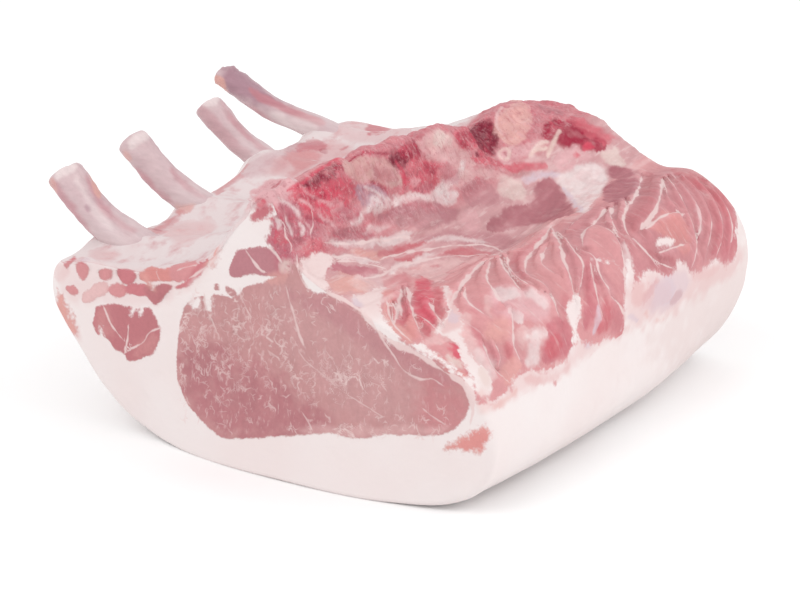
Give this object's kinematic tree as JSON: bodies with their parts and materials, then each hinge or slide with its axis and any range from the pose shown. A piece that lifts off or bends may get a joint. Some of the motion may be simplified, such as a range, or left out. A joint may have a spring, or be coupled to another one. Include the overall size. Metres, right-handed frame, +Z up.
{
  "type": "raw pork rack",
  "caption": "Short raw length of pork loin on its ribs, bone ends scraped bare, lying on its fat with the sawn backbone upwards.",
  "frame": {"origin": "middle of the footprint of the whole piece, on the surface that the fat rests on", "axes": "+X runs along the backbone from the near cut face to the far one, +Y from the rolled back to the bare rib tips, +Z up"},
  "size_m": [0.1574, 0.1896, 0.0846],
  "materials": {
    "fat": "satin, white with a faint pink tinge",
    "lean": "moist satin, dusty pink with fine white marbling",
    "red_lean": "moist satin, pink to dark pink-red with white seams",
    "membrane": "moist satin, greyish white film over pink meat",
    "sawn_bone": "rough and damp, pinkish grey to dark red spongy bone",
    "bare_bone": "satin, pale pinkish grey"
  },
  "bodies": {
    "root": {"fat_cap": "fat", "loin_eye": "lean", "back_muscle": "red_lean", "cap_muscle": "red_lean", "rib_meat": "membrane", "vertebra_1": "sawn_bone", "vertebra_2": "sawn_bone", "vertebra_3": "sawn_bone", "vertebra_4": "sawn_bone", "rib_bone_1": "bare_bone", "rib_bone_2": "bare_bone", "rib_bone_3": "bare_bone", "rib_bone_4": "bare_bone"}
  },
  "joints": []
}
